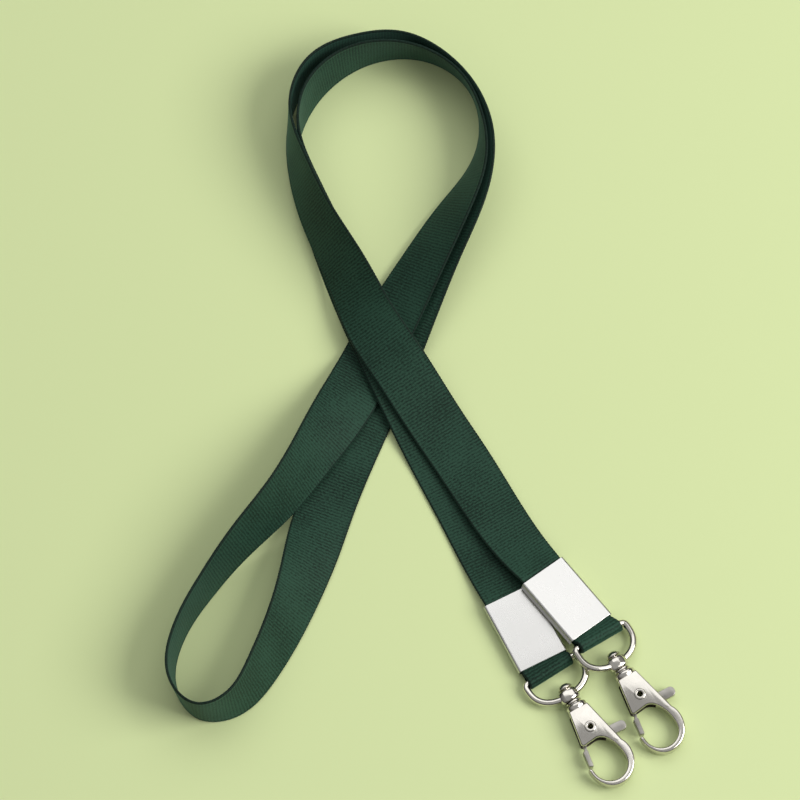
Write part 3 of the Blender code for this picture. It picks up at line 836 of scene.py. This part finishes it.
def build_spring(name, base):
    radius = 1.65
    z0 = 0.58
    pitch = 0.4
    start = 48.6
    coil = []
    for i in range(61):
        turn = 450.0 * i / 60
        a = math.radians(start + turn)
        coil.append((radius * math.cos(a), radius * math.sin(a), z0 + pitch * turn / 360.0))
    a0 = math.radians(start)
    a1 = math.radians(start + 450.0)
    leg_a = [(coil[0][0] + d * math.sin(a0), coil[0][1] - d * math.cos(a0), z0)
             for d in (3.0, 1.5, 0.5)]
    leg_b = [(coil[-1][0] - d * math.sin(a1), coil[-1][1] + d * math.cos(a1), coil[-1][2])
             for d in (0.5, 1.5, 3.0)]
    obj = tube(name, leg_a + coil + leg_b, 0.15, child(base, *PIVOT), False, 12)
    shade(obj, 40.0)
    return obj


# ---- floor, light, camera --------------------------------------------------------
def build_stage():
    verts = [(-3000, -3000, 0), (3000, -3000, 0), (3000, 3000, 0), (-3000, 3000, 0)]
    floor = make("floor", verts, [(0, 1, 2, 3)])
    n = Nodes("floor")
    n.shader.inputs["Base Color"].default_value = (0.66, 0.76, 0.40, 1)
    n.shader.inputs["Roughness"].default_value = 0.85
    n.shader.inputs["Specular IOR Level"].default_value = 0.15
    floor.data.materials.append(n.material)

    world = bpy.data.worlds.new("studio")
    bpy.context.scene.world = world
    world.use_nodes = True
    tree = world.node_tree
    coord = tree.nodes.new("ShaderNodeTexCoord")
    split = tree.nodes.new("ShaderNodeSeparateXYZ")
    tree.links.new(coord.outputs["Generated"], split.inputs[0])
    fade = tree.nodes.new("ShaderNodeValToRGB")     # dark room below, pale ceiling above
    fade.color_ramp.elements[0].position = 0.25
    fade.color_ramp.elements[0].color = (0.055, 0.050, 0.042, 1)
    fade.color_ramp.elements[1].position = 0.80
    fade.color_ramp.elements[1].color = (0.62, 0.62, 0.62, 1)
    tree.links.new(split.outputs[2], fade.inputs[0])
    tree.links.new(fade.outputs[0], tree.nodes["Background"].inputs[0])
    tree.nodes["Background"].inputs[1].default_value = 0.68

    def area(name, location, target, size, power, colour=(1, 1, 1)):
        light = bpy.data.lights.new(name, "AREA")
        light.shape = "RECTANGLE"
        light.size, light.size_y = size
        light.energy = power
        light.color = colour
        obj = bpy.data.objects.new(name, light)
        obj.location = location
        aim = Vector(target) - Vector(location)
        obj.rotation_euler = aim.to_track_quat("-Z", "Y").to_euler()
        bpy.context.scene.collection.objects.link(obj)

    area("key", (1.1, -0.15, 0.95), (0, 0, 0), (0.9, 0.9), 17.5, (1.0, 0.98, 0.95))
    area("back", (-0.1, 1.0, 1.6), (0.03, -0.07, 0), (2.4, 1.4), 11.5)


def build_camera():
    data = bpy.data.cameras.new("camera")
    data.sensor_width = 36.0
    data.lens = 224.7
    data.clip_end = 10.0
    cam = bpy.data.objects.new("camera", data)
    tilt = math.radians(70.0)
    cam.location = (-ORIGIN[0] * MM, -ORIGIN[1] * MM - 1.4 * math.cos(tilt),
                    1.4 * math.sin(tilt))
    cam.rotation_euler = (math.radians(20.0), 0.0, 0.0)
    bpy.context.scene.collection.objects.link(cam)
    bpy.context.scene.camera = cam


def build_all():
    webbing = webbing_material()
    steel = (0.70, 0.695, 0.675)
    nickel = (0.72, 0.69, 0.63)
    hook_metal = metal_material("hook_metal", nickel, 0.16, 0.06, 0.12)
    wire_metal = metal_material("wire_metal", nickel, 0.15, 0.05, 0.10)
    rivet_metal = metal_material("rivet_metal", nickel, 0.2, 0.06, 0.15)
    lever_metal = metal_material("lever_metal", (0.50, 0.48, 0.44), 0.32, 0.5, 0.4)
    spring_metal = metal_material("spring_metal", (0.6, 0.6, 0.58), 0.25)

    clamps = {}
    for side, spec in SIDES.items():
        x, y, z, heading, roll = spec["clamp"]
        clamps[side] = place(x, y, z, heading, 0.0, roll)
    strap, length = build_webbing(clamps)
    hand_in(strap, "strap_and_clamps", "strap", webbing)
    for side, spec in SIDES.items():
        heading = spec["clamp"][3]
        clamp_metal = metal_material(side + "_clamp_metal", steel, 0.28, 0.01, 0.015,
                                     brushed=heading)
        hand_in(build_clamp(side + "_clamp_sleeve", clamps[side]), "strap_and_clamps",
                side + "_clamp", clamp_metal)
        yaw, shift, pitch = spec["d"]
        base = child(clamps[side], BAR_U, shift, 0.0, yaw, pitch)
        hand_in(build_d(side + "_d_wire", base), side + "_loop", side + "_d_loop",
                wire_metal)
        x, y, z, heading, pitch, lean = spec["hook"]
        base = place(x, y, z, heading, pitch)
        swivel = place(x, y, z, heading + lean, pitch)
        hook = side + "_hook"
        hand_in(build_hook(side + "_hook_casting", base, swivel), hook, side + "_hook_body",
                hook_metal)
        hand_in(build_swivel(side + "_swivel_head", swivel), hook, side + "_swivel_rivet",
                rivet_metal)
        hand_in(build_eyelet(side + "_gate_eyelet", base), hook, side + "_gate_rivet",
                rivet_metal)
        hand_in(build_spring(side + "_gate_coil", base), hook, side + "_gate_spring",
                spring_metal)
        hand_in(build_lever(side + "_gate_arm", base), side + "_gate", side + "_gate_lever",
                lever_metal)
    build_stage()
    build_camera()
    bpy.context.scene.view_settings.view_transform = "Standard"


build_all()
